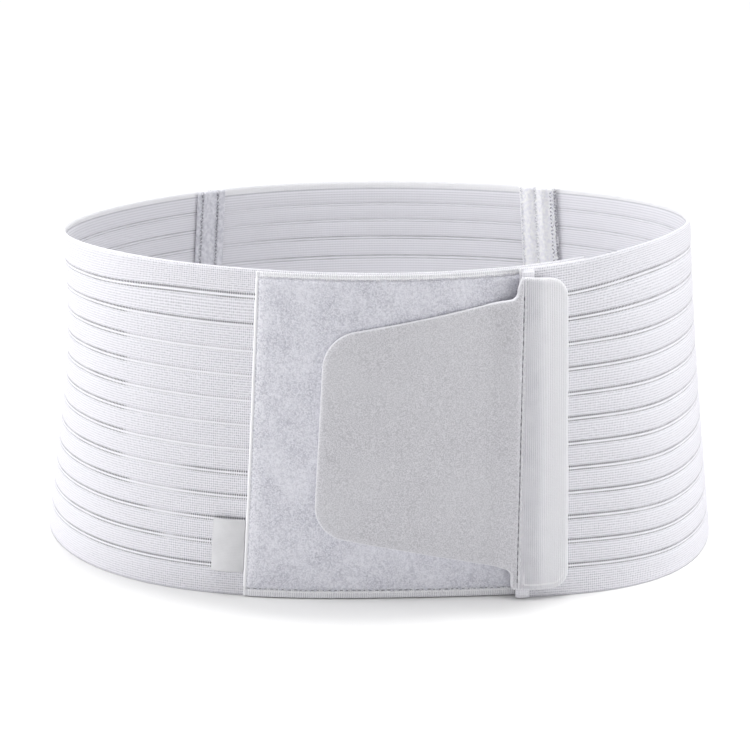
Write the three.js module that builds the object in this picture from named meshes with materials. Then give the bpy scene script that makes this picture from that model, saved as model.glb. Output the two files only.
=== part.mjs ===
// An abdominal support belt of ribbed elastic webbing, closed in front and standing on its lower rim.
// Millimetres, +Z up, the closure faces -Y. The wearer's waist goes through the open loop.
//
// Every piece is cut flat and then wrapped round the same wall. A place on the wall has three numbers:
// s, the way along the wall from the front middle, positive towards +X;
// z, the height above the surface that the lower rim rests on;
// out, the distance outwards from the outer face of the webbing.

import * as THREE from 'three';

// The loop.
const beltHeight = 160;
const waistWidth = 329.5; // the upper rim, across
const waistDepth = 250.2; // the upper rim, front to back
const waistShiftX = -4.8;
const waistShiftY = 3.3;
const hipWidth = 350.3; // the lower rim
const hipDepth = 266.5;
const hipShiftX = 3.9;
const hipShiftY = -3.3;
const bowLeft = 5.2; // how far the sides draw in between the rims
const bowRight = 0.8;
const bowPeak = 0.61; // the height of the tightest place, as a share of the belt's
const closureHalf = 100; // this far from the front middle the closure keeps the webbing from stretching

// The plan of each rim as a sum of waves round the loop, in shares of half its width and half its depth.
const waistWaves = [
  { turns: 1, acrossCos: 1, acrossSin: -0.0645, deepCos: 0.122, deepSin: 1 },
  { turns: 2, acrossCos: 0.027, acrossSin: 0.008, deepCos: 0.018, deepSin: 0.045 },
  { turns: 3, acrossCos: -0.005, acrossSin: 0.024, deepCos: 0.001, deepSin: -0.044 },
];
const hipWaves = [
  { turns: 1, acrossCos: 1, acrossSin: -0.0665, deepCos: 0.034, deepSin: 1 },
  { turns: 2, acrossCos: -0.031, acrossSin: 0.029, deepCos: -0.012, deepSin: 0.019 },
  { turns: 3, acrossCos: 0.014, acrossSin: 0.009, deepCos: -0.0145, deepSin: 0.08 },
];

// The ribbed webbing.
const webThickness = 2;
const ribCount = 13;
const endRibHeight = 14.6; // from a rim to the middle of the nearest groove
const grooveWidth = 2.8;
const outerGrooveDepth = 0.65;
const innerGrooveDepth = 0.45;
const rimRound = 0.4; // the bevel along the upper and lower rims

// Where the webbing is joined and closed.
const seamGap = 0.3; // between two pieces that meet end to end
const layerGap = 0.4; // between two pieces that lie on each other
const rimInset = 0.5; // sewn-on pieces end this far inside the rims
const leftSeamPlace = 362; // the back seams, from the front middle
const rightSeamPlace = 380;
const closurePlace = 64.8; // the seam of the closure, right of the front middle
const closureLean = 1.9; // how much further right that seam is at the upper rim
const overlapLength = 44; // the left band goes on this far behind the right one
const sinkLength = 180; // over this length the left band moves inwards, to pass behind the right one
const sinkClearance = 7; // and has done so this far before the seam

// The velour panel on the front end of the left band.
const velourThickness = 1.6;
const panelReach = 63.3; // its free edge, left of the front middle
const panelLean = 8;

// The closure tab, a felt flap that grips the velour.
const tabThickness = 2;
const tabReach = 29.7; // its free edge, left of the front middle
const tabLean = 5.8;
const tabTipBottom = 34;
const tabTipTop = 130.6;
const tabTipCorner = 14;
const tabNeckBottom = 14.8;
const tabNeckTop = 146.8;
const tabNeckWidth = 2.8; // of the narrow strip that goes on along the seam, above and below the flap
const tabNeckCorner = 2.4;
const tabRise = 14; // the flap climbs from the velour to the closure strip over this width

// The closure strip, sewn over the end of the right band.
const stripThickness = 2.2;
const stripWidth = 25.2;
const stripBottom = 4.9;
const stripTop = 156;
const stripCorner = 10;
const stripFall = 8; // it comes down from the end hem to the webbing over this width

// The folded hem at the end of the right band.
const hemThickness = 1.2;
const hemWidth = 6.4;

// The label tab, sewn under the free edge of the panel.
const labelThickness = 1;
const labelWidth = 16.2;
const labelBottom = 12.5;
const labelTop = 38.7;
const labelSwell = 1.2; // its middle stands this far off the webbing

// The soft patch inside the front, which shows through the openwork of the webbing.
const patchThickness = 1.4;
const patchReach = 138; // its free edge, left of the front middle
const patchRightReach = 38;
const patchBottom = 22;
const patchTop = 134;
const patchTopCorner = 12;
const patchCutWidth = 26; // its lower corner is cut away in an S
const patchCutBottom = 44;
const patchCutTop = 60;
const patchCutCorner = 9;

// The tapes inside the back seams.
const tapeThickness = 1.1;
const leftTapeWidth = 19.6;
const rightTapeWidth = 24;
const rightTapeRidge = 1.9; // how far its two padded ridges stand off the tape

// The right tape from its front edge to its back edge, in shares of its width and of the ridges' height.
const ridgeProfile = [
  { across: 0, rise: 0 },
  { across: 0.2, rise: 0 },
  { across: 0.3, rise: 0.85 },
  { across: 0.42, rise: 1 },
  { across: 0.52, rise: 0.75 },
  { across: 0.57, rise: 0.2 },
  { across: 0.63, rise: 0.75 },
  { across: 0.75, rise: 0.9 },
  { across: 0.88, rise: 0.6 },
  { across: 0.93, rise: 0 },
  { across: 1, rise: 0 },
];

// How finely the curves are cut into facets.
const columnLength = 21;
const leastColumn = 0.25; // the narrowest column beside an edge, as a share of a whole one
const edgeLength = 10; // along an edge that leans far
const rowLength = 18; // along an upright edge
const tightBend = 125; // the radius of the sharpest bend behind which a piece is sewn
const stripFacets = 5;
const tabFacets = 7;
const patchFacets = 9;
const labelFacets = 4;
const rimSamples = 720;
const cornerSteps = 3;
const crossingSteps = 40;
const tangentStep = 1;

const mix = THREE.MathUtils.lerp;
const always = (value) => () => value;

function smooth(from, to, value) {
  const share = Math.min(1, Math.max(0, (value - from) / (to - from)));
  return share * share * (3 - 2 * share);
}

// One rim: points along it from the front middle, where x is 0, towards +X and all the way round.
function makeRim(width, depth, shiftX, shiftY, waves) {
  const plan = (turn) => {
    let across = 0;
    let deep = 0;
    for (const wave of waves) {
      const cos = Math.cos(wave.turns * turn);
      const sin = Math.sin(wave.turns * turn);
      across += wave.acrossCos * cos + wave.acrossSin * sin;
      deep += wave.deepCos * cos + wave.deepSin * sin;
    }
    return new THREE.Vector2(shiftX + (across * width) / 2, shiftY + (deep * depth) / 2);
  };
  const crossing = (from, to) => {
    let low = from;
    let high = to;
    for (let i = 0; i < crossingSteps; i += 1) {
      const middle = (low + high) / 2;
      if (plan(low).x * plan(middle).x <= 0) high = middle;
      else low = middle;
    }
    return low;
  };
  const eighth = Math.PI / 4;
  const front = crossing(-3 * eighth, -eighth);
  const back = crossing(eighth, 3 * eighth);
  const points = [plan(front)];
  const along = [0];
  for (let i = 1; i <= rimSamples; i += 1) {
    points.push(plan(front + (2 * Math.PI * i) / rimSamples));
    along.push(along[i - 1] + points[i].distanceTo(points[i - 1]));
  }
  const length = along[rimSamples];
  const backStep = (rimSamples * (back - front)) / (2 * Math.PI);
  const before = Math.floor(backStep);
  const right = mix(along[before], along[before + 1], backStep - before);
  const pointAt = (way) => {
    const place = ((way % length) + length) % length;
    const next = Math.max(1, along.findIndex((reached) => reached >= place));
    const share = (place - along[next - 1]) / (along[next] - along[next - 1]);
    return points[next - 1].clone().lerp(points[next], share);
  };
  return { pointAt, right, left: length - right };
}

const waist = makeRim(waistWidth, waistDepth, waistShiftX, waistShiftY, waistWaves);
const hip = makeRim(hipWidth, hipDepth, hipShiftX, hipShiftY, hipWaves);
const rightHalf = (waist.right + hip.right) / 2; // from the front middle to the back middle
const leftHalf = (waist.left + hip.left) / 2;

// Past the closure the elastic stretches evenly, so s is scaled to the length of each rim.
function onRim(rim, s) {
  const wrapped = s > rightHalf ? s - rightHalf - leftHalf : s;
  const away = Math.abs(wrapped);
  const half = wrapped < 0 ? rim.left : rim.right;
  const meanHalf = wrapped < 0 ? leftHalf : rightHalf;
  const stretch = (half - closureHalf) / (meanHalf - closureHalf);
  const way = away < closureHalf ? away : closureHalf + (away - closureHalf) * stretch;
  return rim.pointAt(way * Math.sign(wrapped));
}

function wallMiddle(s, z) {
  const height = z / beltHeight;
  const point = onRim(hip, s).lerp(onRim(waist, s), height);
  const halfWidth = mix(hipWidth, waistWidth, height) / 2;
  const bow = point.x < 0 ? bowLeft : bowRight;
  const hump = Math.sin(Math.PI * height ** (Math.log(0.5) / Math.log(bowPeak)));
  point.x -= bow * hump * (point.x / halfWidth) ** 3;
  return point;
}

// The point at s and z, moved outwards at its own height.
function wallPoint(s, z, out) {
  const point = wallMiddle(s, z);
  const along = wallMiddle(s + tangentStep, z).sub(wallMiddle(s - tangentStep, z)).normalize();
  return new THREE.Vector3(point.x + along.y * out, point.y - along.x * out, z);
}

// A closed layer of cloth on the wall. rows are its heights, places gives the columns of a row,
// and levels gives how far out its inner and outer faces are.
function layer(rows, places, levels) {
  const width = places(0).length;
  const faceSize = rows.length * width;
  const positions = [];
  for (const face of ['outer', 'inner']) {
    rows.forEach((z, row) => {
      for (const s of places(row)) {
        positions.push(...wallPoint(s, z, levels(s, row)[face]).toArray());
      }
    });
  }
  const indices = [];
  const quad = (a, b, c, d) => indices.push(a, b, c, a, c, d);
  const wall = (a, b) => quad(b, a, a + faceSize, b + faceSize);
  for (let row = 0; row < rows.length - 1; row += 1) {
    for (let column = 0; column < width - 1; column += 1) {
      const a = row * width + column;
      quad(a, a + 1, a + width + 1, a + width);
      const b = a + faceSize;
      quad(b, b + width, b + width + 1, b + 1);
    }
    wall(row * width + width, row * width);
    wall(row * width + width - 1, row * width + 2 * width - 1);
  }
  for (let column = 0; column < width - 1; column += 1) {
    const top = (rows.length - 1) * width + column;
    wall(column, column + 1);
    wall(top + 1, top);
  }
  const geometry = new THREE.BufferGeometry();
  geometry.setAttribute('position', new THREE.Float32BufferAttribute(positions, 3));
  geometry.setIndex(indices);
  geometry.computeVertexNormals();
  return geometry;
}

// Columns that all pieces share, so that layers lie flat on each other. Only the end columns follow the edges.
function sharedColumns(rows, left, right) {
  const from = Math.max(...rows.map(left));
  const to = Math.min(...rows.map(right));
  const inner = [];
  for (let i = Math.ceil(from / columnLength); i * columnLength < to; i += 1) {
    const place = i * columnLength;
    if (Math.min(place - from, to - place) > columnLength * leastColumn) inner.push(place);
  }
  return (row) => [left(rows[row]), ...inner, right(rows[row])];
}

// Columns at even shares between two edges, for a piece whose edges lean far.
function evenColumns(lefts, rights, count) {
  return (row) => Array.from({ length: count + 1 }, (_, i) => mix(lefts[row], rights[row], i / count));
}

function evenRows(from, to, count) {
  return Array.from({ length: count + 1 }, (_, i) => mix(from, to, i / count));
}

// An edge through rounded corners, without the first and last corner, which only give its direction.
function roundedEdge(corners) {
  const points = [];
  for (let i = 1; i < corners.length - 1; i += 1) {
    const corner = new THREE.Vector2(corners[i].s, corners[i].z);
    const cutTowards = (other) => {
      const way = new THREE.Vector2(other.s, other.z).sub(corner);
      return way.setLength(corners[i].cut).add(corner);
    };
    const start = cutTowards(corners[i - 1]);
    const end = cutTowards(corners[i + 1]);
    if (points.length > 0) {
      const last = points[points.length - 1];
      const steps = Math.ceil(Math.abs(start.x - last.x) / edgeLength + (start.y - last.y) / rowLength);
      for (let step = 1; step < steps; step += 1) points.push(last.clone().lerp(start, step / steps));
    }
    points.push(...new THREE.QuadraticBezierCurve(start, corner, end).getPoints(cornerSteps));
  }
  return { heights: points.map((point) => point.y), places: points.map((point) => point.x) };
}

const group = new THREE.Group();

function add(name, geometry, color, roughness) {
  const mesh = new THREE.Mesh(geometry, new THREE.MeshStandardMaterial({ color, roughness, metalness: 0 }));
  mesh.name = name;
  group.add(mesh);
}

// Faces for a layer that lies on something: its base and its thickness.
const onTop = (base, thickness) => (s) => ({ inner: base(s), outer: base(s) + thickness });
const closureSeam = (z) => closurePlace + closureLean * (z / beltHeight - 0.5);
const rimToRim = evenRows(rimInset, beltHeight - rimInset, Math.ceil(beltHeight / rowLength));

// A flat facet of the webbing dips this far inside the true curve, so pieces behind it keep clear of that.
const facetDip = columnLength ** 2 / (8 * tightBend);

// The left band moves inwards by as much as the right band and the velour need.
const sinkDepth = webThickness + velourThickness + 2 * layerGap + facetDip;
const sinkEnd = closurePlace - sinkClearance;
const leftOut = (s) => -sinkDepth * smooth(sinkEnd - sinkLength, sinkEnd, s);
const leftBandEnd = closurePlace + overlapLength;

// The webbing has a row at each rim and three at each groove.
const webRows = [
  { z: 0, outerDent: rimRound, innerDent: rimRound },
  { z: rimRound, outerDent: 0, innerDent: 0 },
];
const grooveStep = (beltHeight - 2 * endRibHeight) / (ribCount - 2);
for (let i = 0; i < ribCount - 1; i += 1) {
  const middle = endRibHeight + i * grooveStep;
  webRows.push({ z: middle - grooveWidth / 2, outerDent: 0, innerDent: 0 });
  webRows.push({ z: middle, outerDent: outerGrooveDepth, innerDent: innerGrooveDepth });
  webRows.push({ z: middle + grooveWidth / 2, outerDent: 0, innerDent: 0 });
}
webRows.push({ z: beltHeight - rimRound, outerDent: 0, innerDent: 0 });
webRows.push({ z: beltHeight, outerDent: rimRound, innerDent: rimRound });

function webbing(left, right, out) {
  const heights = webRows.map((row) => row.z);
  return layer(heights, sharedColumns(heights, left, right), (s, row) => ({
    outer: out(s) - webRows[row].outerDent,
    inner: out(s) - webThickness + webRows[row].innerDent,
  }));
}

const webColor = 0xf3f3f7;
const backBandStart = rightSeamPlace + seamGap / 2;
const backBandEnd = rightHalf + leftHalf - leftSeamPlace - seamGap / 2;
const bandEdge = (z) => closureSeam(z) + seamGap;
const leftBand = webbing(always(seamGap / 2 - leftSeamPlace), always(leftBandEnd), leftOut);
add('left_band', leftBand, webColor, 0.9);
add('right_band', webbing(bandEdge, always(rightSeamPlace - seamGap / 2), always(0)), webColor, 0.9);
add('back_band', webbing(always(backBandStart), always(backBandEnd), always(0)), webColor, 0.9);

// The velour panel covers the front end of the left band from rim to rim.
const panelLeft = (z) => panelLean * (z / beltHeight - 0.5) - panelReach;
const panelBase = (s) => leftOut(s) + layerGap;
const panelColumns = sharedColumns(rimToRim, panelLeft, always(leftBandEnd));
add('velour_panel', layer(rimToRim, panelColumns, onTop(panelBase, velourThickness)), 0xd2d2da, 1);

// The hem doubles the webbing at the end of the right band.
const hemRight = (z) => bandEdge(z) + hemWidth;
const hemColumns = sharedColumns(rimToRim, bandEdge, hemRight);
add('end_hem', layer(rimToRim, hemColumns, onTop(always(layerGap), hemThickness)), webColor, 0.9);

// The closure strip lies over the hem, then comes down to the webbing.
const stripHigh = 2 * layerGap + hemThickness;
const stripFallStart = hemRight(beltHeight) + seamGap;
const stripBase = (s) => mix(stripHigh, layerGap, smooth(stripFallStart, stripFallStart + stripFall, s));
const stripRight = (z) => bandEdge(z) + stripWidth;
const stripEdge = roundedEdge([
  { s: bandEdge(stripBottom), z: stripBottom },
  { s: stripRight(stripBottom), z: stripBottom, cut: stripCorner },
  { s: stripRight(stripTop), z: stripTop, cut: stripCorner },
  { s: bandEdge(stripTop), z: stripTop },
]);
const stripColumns = evenColumns(stripEdge.heights.map(bandEdge), stripEdge.places, stripFacets);
add('closure_strip', layer(stripEdge.heights, stripColumns, onTop(stripBase, stripThickness)), 0xd9d9de, 0.95);

// The closure tab lies on the velour and climbs to the strip's level at the seam.
const tabLow = (s) => panelBase(s) + velourThickness + layerGap;
const tabHigh = stripHigh + stripThickness - tabThickness;
const tabBase = (s) => mix(tabLow(s), tabHigh, smooth(closurePlace - tabRise, closurePlace, s));
const tabMiddle = (tabTipBottom + tabTipTop) / 2;
const tabTip = (z) => (tabLean * (z - tabMiddle)) / (tabTipTop - tabTipBottom) - tabReach;
const tabNeck = (z) => closureSeam(z) - tabNeckWidth;
const tabEdge = roundedEdge([
  { s: closureSeam(stripBottom), z: stripBottom },
  { s: tabNeck(stripBottom), z: stripBottom, cut: tabNeckCorner },
  { s: tabNeck(tabNeckBottom), z: tabNeckBottom, cut: tabNeckCorner },
  { s: tabTip(tabTipBottom), z: tabTipBottom, cut: tabTipCorner },
  { s: tabTip(tabTipTop), z: tabTipTop, cut: tabTipCorner },
  { s: tabNeck(tabNeckTop), z: tabNeckTop, cut: tabNeckCorner },
  { s: tabNeck(stripTop), z: stripTop, cut: tabNeckCorner },
  { s: closureSeam(stripTop), z: stripTop },
]);
const tabColumns = evenColumns(tabEdge.places, tabEdge.heights.map(closureSeam), tabFacets);
add('closure_tab', layer(tabEdge.heights, tabColumns, onTop(tabBase, tabThickness)), 0xc9c9ce, 1);

// The label tab swells off the webbing between its two sewn ends.
const labelRight = (z) => panelLeft(z) - seamGap;
const labelLeft = (z) => labelRight(z) - labelWidth;
const labelRows = evenRows(labelBottom, labelTop, labelFacets);
const labelColumns = evenColumns(labelRows.map(labelLeft), labelRows.map(labelRight), labelFacets);
const labelLevels = (s, row) => {
  const across = (s - labelLeft(labelRows[row])) / labelWidth;
  const base = leftOut(s) + layerGap + labelSwell * Math.sin(Math.PI * across);
  return { inner: base, outer: base + labelThickness };
};
add('label_tab', layer(labelRows, labelColumns, labelLevels), 0xd6d6d8, 0.6);

// The patch lies against the inner face of the left band.
const underWeb = (out) => out - webThickness - layerGap - facetDip;
const patchEdge = roundedEdge([
  { s: 0, z: patchBottom },
  { s: patchCutWidth - patchReach, z: patchBottom, cut: patchCutCorner },
  { s: patchCutWidth - patchReach - patchCutCorner, z: patchCutBottom, cut: patchCutCorner },
  { s: patchCutCorner / 2 - patchReach, z: patchCutTop, cut: patchCutCorner },
  { s: -patchReach, z: patchTop, cut: patchTopCorner },
  { s: 0, z: patchTop },
]);
const patchColumns = evenColumns(patchEdge.places, patchEdge.places.map(always(patchRightReach)), patchFacets);
const patchLevels = (s) => ({ outer: underWeb(leftOut(s)), inner: underWeb(leftOut(s)) - patchThickness });
add('inner_patch', layer(patchEdge.heights, patchColumns, patchLevels), 0xf0f0f4, 1);

// The tapes cover the back seams on the inside.
function tape(seamPlace, width, profile, ridge) {
  const places = profile.map(({ across }) => seamPlace + (across - 0.5) * width);
  const levels = (s) => {
    const { rise } = profile[places.indexOf(s)];
    return { outer: underWeb(0), inner: underWeb(0) - tapeThickness - rise * ridge };
  };
  return layer(rimToRim, always(places), levels);
}

const flatProfile = [
  { across: 0, rise: 0 },
  { across: 0.5, rise: 0 },
  { across: 1, rise: 0 },
];
add('left_seam_tape', tape(-leftSeamPlace, leftTapeWidth, flatProfile, 0), 0xe4e4ea, 1);
add('right_seam_tape', tape(rightSeamPlace, rightTapeWidth, ridgeProfile, rightTapeRidge), 0xe4e4ea, 1);

// The origin is under the middle of the whole belt, on the surface that it stands on.
const box = new THREE.Box3().setFromObject(group);
group.position.set(-(box.min.x + box.max.x) / 2, -(box.min.y + box.max.y) / 2, 0);

export default group;
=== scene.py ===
# %% [markdown]
# A hernia belt that stands closed on its lower rim.
# The real belt is a wide loop of ribbed elastic webbing. Its front end is covered with velour,
# and a felt flap, sewn to the other end, grips the velour and closes the loop.
# Cloth is cut flat and then bent round a body, so this lesson does the same. Every piece is modelled
# flat with mesh operators, in millimetres, and one function then wraps it round the wall of the loop.

# %% The frame
import math
import random

import bmesh
import bpy
import numpy as np
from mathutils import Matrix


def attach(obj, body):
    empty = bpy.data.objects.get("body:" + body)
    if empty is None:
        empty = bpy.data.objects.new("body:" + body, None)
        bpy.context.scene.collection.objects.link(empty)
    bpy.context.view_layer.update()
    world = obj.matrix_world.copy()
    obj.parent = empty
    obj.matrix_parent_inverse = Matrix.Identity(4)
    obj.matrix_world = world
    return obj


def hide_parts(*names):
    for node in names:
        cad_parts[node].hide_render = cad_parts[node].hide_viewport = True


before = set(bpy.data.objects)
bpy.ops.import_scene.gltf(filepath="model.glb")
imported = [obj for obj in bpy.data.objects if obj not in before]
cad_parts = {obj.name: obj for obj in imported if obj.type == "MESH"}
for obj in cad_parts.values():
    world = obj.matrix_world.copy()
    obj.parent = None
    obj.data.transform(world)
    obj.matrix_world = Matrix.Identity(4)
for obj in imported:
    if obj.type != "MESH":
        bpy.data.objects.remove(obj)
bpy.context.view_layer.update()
MM = 0.001
print("solids:", sorted(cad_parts))

# %% [markdown]
# The two rims of the belt are not ellipses: a soft loop that stands by itself bulges here and there.
# Each rim is drawn as a sum of three waves round the loop, in shares of half its width and depth.
# The belt is narrower at the waist than at the hips, so the wall leans inwards as it rises.

# %% The sizes of the loop
BELT_HEIGHT = 160.0
FRAME_SHIFT = (1.809, -1.993)
CLOSURE_HALF = 100.0
BOW_LEFT = 5.2
BOW_RIGHT = 0.8
BOW_PEAK = 0.61
RIM_SAMPLES = 7200

WAIST = {
    "width": 329.5,
    "depth": 250.2,
    "shift": (-4.8, 3.3),
    "waves": [
        {"turns": 1, "across_cos": 1.0, "across_sin": -0.0645, "deep_cos": 0.122, "deep_sin": 1.0},
        {"turns": 2, "across_cos": 0.027, "across_sin": 0.008, "deep_cos": 0.018, "deep_sin": 0.045},
        {"turns": 3, "across_cos": -0.005, "across_sin": 0.024, "deep_cos": 0.001, "deep_sin": -0.044},
    ],
}
HIP = {
    "width": 350.3,
    "depth": 266.5,
    "shift": (3.9, -3.3),
    "waves": [
        {"turns": 1, "across_cos": 1.0, "across_sin": -0.0665, "deep_cos": 0.034, "deep_sin": 1.0},
        {"turns": 2, "across_cos": -0.031, "across_sin": 0.029, "deep_cos": -0.012, "deep_sin": 0.019},
        {"turns": 3, "across_cos": 0.014, "across_sin": 0.009, "deep_cos": -0.0145, "deep_sin": 0.08},
    ],
}


# %% [markdown]
# To bend cloth round the loop we need to know where a place on it goes. A place has three numbers:
# s, the way along the wall from the front middle, z, the height, and out, the distance outwards.
# The rim is sampled once, and numpy's interp then finds any length along it.

# %% A rim as a measured line
def rim_plan(rim, turn):
    across = 0.0
    deep = 0.0
    for wave in rim["waves"]:
        cos = np.cos(wave["turns"] * turn)
        sin = np.sin(wave["turns"] * turn)
        across = across + wave["across_cos"] * cos + wave["across_sin"] * sin
        deep = deep + wave["deep_cos"] * cos + wave["deep_sin"] * sin
    x = rim["shift"][0] + across * rim["width"] / 2
    y = rim["shift"][1] + deep * rim["depth"] / 2
    return x, y


def crossing(rim, low, high):
    for _ in range(40):
        middle = (low + high) / 2
        if rim_plan(rim, low)[0] * rim_plan(rim, middle)[0] <= 0:
            high = middle
        else:
            low = middle
    return low


def measured(rim):
    front = crossing(rim, -0.75 * math.pi, -0.25 * math.pi)
    back = crossing(rim, 0.25 * math.pi, 0.75 * math.pi)
    turns = front + np.linspace(0, 2 * math.pi, RIM_SAMPLES + 1)
    x, y = rim_plan(rim, turns)
    along = np.concatenate([[0.0], np.cumsum(np.hypot(np.diff(x), np.diff(y)))])
    right = float(np.interp(back, turns, along))
    return {"x": x, "y": y, "along": along, "right": right, "left": along[-1] - right}


waist_rim = measured(WAIST)
hip_rim = measured(HIP)
right_half = (waist_rim["right"] + hip_rim["right"]) / 2
left_half = (waist_rim["left"] + hip_rim["left"]) / 2
print("round the waist:", round(waist_rim["along"][-1]), "mm")
print("round the hips:", round(hip_rim["along"][-1]), "mm")


# %% The wall
def on_rim(rim, s):
    wrapped = np.where(s > right_half, s - right_half - left_half, s)
    away = np.abs(wrapped)
    half = np.where(wrapped < 0, rim["left"], rim["right"])
    mean_half = np.where(wrapped < 0, left_half, right_half)
    stretch = (half - CLOSURE_HALF) / (mean_half - CLOSURE_HALF)
    way = np.where(away < CLOSURE_HALF, away, CLOSURE_HALF + (away - CLOSURE_HALF) * stretch)
    place = np.mod(np.sign(wrapped) * way, rim["along"][-1])
    return np.interp(place, rim["along"], rim["x"]), np.interp(place, rim["along"], rim["y"])


def wall_middle(s, z):
    height = np.clip(z / BELT_HEIGHT, 0, 1)
    hip_x, hip_y = on_rim(hip_rim, s)
    waist_x, waist_y = on_rim(waist_rim, s)
    x = hip_x + (waist_x - hip_x) * height
    y = hip_y + (waist_y - hip_y) * height
    half_width = (HIP["width"] + (WAIST["width"] - HIP["width"]) * height) / 2
    bow = np.where(x < 0, BOW_LEFT, BOW_RIGHT)
    hump = np.sin(np.pi * height ** (math.log(0.5) / math.log(BOW_PEAK)))
    return x - bow * hump * (x / half_width) ** 3, y


def wall_points(s, z, out):
    x, y = wall_middle(s, z)
    ahead_x, ahead_y = wall_middle(s + 1, z)
    behind_x, behind_y = wall_middle(s - 1, z)
    along_x = ahead_x - behind_x
    along_y = ahead_y - behind_y
    length = np.hypot(along_x, along_y)
    x = x + along_y / length * out + FRAME_SHIFT[0]
    y = y - along_x / length * out + FRAME_SHIFT[1]
    return np.stack([x, y, z], axis=1) * MM


# %% [markdown]
# A flat piece of cloth lies in the plane of s and z, with its thickness along the third axis.
# A straight piece starts from a grid whose rows we may space as we like, closer where ribs are sewn.
# A shaped piece starts from the few corners of its outline, which a vertex bevel rounds.
# solidify gives the thickness, and an edge bevel takes the hardness off the cut edge. A shaped sheet also
# gets narrow rings of faces along its outline, so that it can thin out there as pressed cloth does.

# %% Flat pieces
def flat_grid(heights, left, right, columns):
    bm = bmesh.new()
    rows = len(heights) - 1
    bmesh.ops.create_grid(bm, x_segments=columns, y_segments=rows, size=0.5)
    for vert in bm.verts:
        z = heights[round((vert.co.y + 0.5) * rows)]
        vert.co = (left(z) + (right(z) - left(z)) * (vert.co.x + 0.5), z, 0)
    return bm


def flat_outline(corners):
    bm = bmesh.new()
    verts = [bm.verts.new((corner["s"], corner["z"], 0)) for corner in corners]
    bm.faces.new(verts)
    for vert, corner in zip(verts, corners):
        if corner["cut"] > 0:
            bmesh.ops.bevel(
                bm, geom=[vert], offset=corner["cut"], offset_type="OFFSET", segments=10,
                profile=0.5, affect="VERTICES", material=-1,
            )
    return bm


def flat_places(bm):
    return np.array([vert.co[:] for vert in bm.verts])


def thicken(bm, thickness):
    bmesh.ops.solidify(bm, geom=bm.faces[:], thickness=thickness)
    lowest = min(vert.co.z for vert in bm.verts)
    bmesh.ops.translate(bm, verts=bm.verts[:], vec=(0, 0, -lowest))


def soften_edges(bm, radius):
    def is_rim(edge):
        level = abs(edge.verts[0].co.z - edge.verts[1].co.z) < radius / 10
        return level and edge.calc_face_angle(0) > math.radians(60)

    rim = [edge for edge in bm.edges if is_rim(edge)]
    bmesh.ops.bevel(
        bm, geom=rim, offset=radius, offset_type="OFFSET", segments=3,
        profile=0.5, affect="EDGES", clamp_overlap=True, material=-1,
    )


def slice_up(bm, tile_s, tile_z):
    for axis, tile in ((0, tile_s), (1, tile_z)):
        places = [vert.co[axis] for vert in bm.verts]
        first = math.floor(min(places) / tile) + 1
        last = math.ceil(max(places) / tile)
        for number in range(first, last):
            point = [0, 0, 0]
            normal = [0, 0, 0]
            point[axis] = number * tile
            normal[axis] = 1
            everything = bm.verts[:] + bm.edges[:] + bm.faces[:]
            bmesh.ops.bisect_plane(bm, geom=everything, dist=0.0001, plane_co=point, plane_no=normal)


def from_outline(flat, outline):
    nearest = np.full(len(flat), 1000.0)
    for start, end in zip(outline, np.roll(outline, -1, axis=0)):
        step = end - start
        share = np.clip(((flat[:, :2] - start) @ step) / max(step @ step, 0.000001), 0, 1)
        gap = flat[:, :2] - start - share[:, None] * step
        nearest = np.minimum(nearest, np.hypot(gap[:, 0], gap[:, 1]))
    return nearest


def shaped_sheet(corners, thickness, ring_widths, tile, pinch_reach, pinch_share):
    bm = flat_outline(corners)
    face = bm.faces[:][0]
    outline = np.array([loop.vert.co.xy[:] for loop in face.loops])
    for ring_width in ring_widths:
        bmesh.ops.inset_region(bm, faces=[face], thickness=ring_width, use_even_offset=True)
    thicken(bm, thickness)
    soften_edges(bm, 0.15)
    slice_up(bm, tile, tile)
    away = from_outline(flat_places(bm), outline)
    slope = 1 - np.clip(away / pinch_reach, 0, 1)
    thinner = 1 - pinch_share * (1 - np.sqrt(1 - slope**2))
    for vert, share in zip(bm.verts, thinner):
        vert.co.z *= share
    return bm, away


# %% [markdown]
# When a flat piece is ready, its flat places become its UV map, in millimetres. A pattern that is drawn
# there follows the cloth, as a woven one does. Then the piece is wrapped, and it rides on the one body.
# set_values stores one number for each point, such as its distance from the edge, for a material to read.

# %% Wrapping and dressing
def smooth(start, end, value):
    share = np.clip((value - start) / (end - start), 0, 1)
    return share * share * (3 - 2 * share)


def move_out(bm, distance):
    flat = flat_places(bm)
    for vert, more in zip(bm.verts, distance(flat[:, 0], flat[:, 1], flat[:, 2])):
        vert.co.z += more


def wrap(bm, base, lift):
    uv = bm.loops.layers.uv.new("flat")
    for face in bm.faces:
        face.smooth = True
        for loop in face.loops:
            loop[uv].uv = loop.vert.co.xy
    flat = flat_places(bm)
    z = flat[:, 1] + lift(flat[:, 0], flat[:, 1], flat[:, 2])
    out = base(flat[:, 0]) + flat[:, 2]
    for vert, point in zip(bm.verts, wall_points(flat[:, 0], z, out)):
        vert.co = point


def no_lift(s, z, out):
    return 0 * z


def set_values(piece, name, values):
    attribute = piece.data.attributes.new(name, "FLOAT", "POINT")
    attribute.data.foreach_set("value", values)


def make_piece(name, bm, base, material, lift=no_lift):
    wrap(bm, base, lift)
    mesh = bpy.data.meshes.new(name)
    bm.to_mesh(mesh)
    bm.free()
    piece = bpy.data.objects.new(name, mesh)
    bpy.context.scene.collection.objects.link(piece)
    mesh.materials.append(material)
    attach(piece, "root")
    print(name, "has", len(mesh.polygons), "faces")
    return piece


# %% [markdown]
# Materials are made of nodes. These short helpers add a node, set its sockets and link it, so that
# a material reads like a recipe. A socket takes either a value or another node's output.

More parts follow.
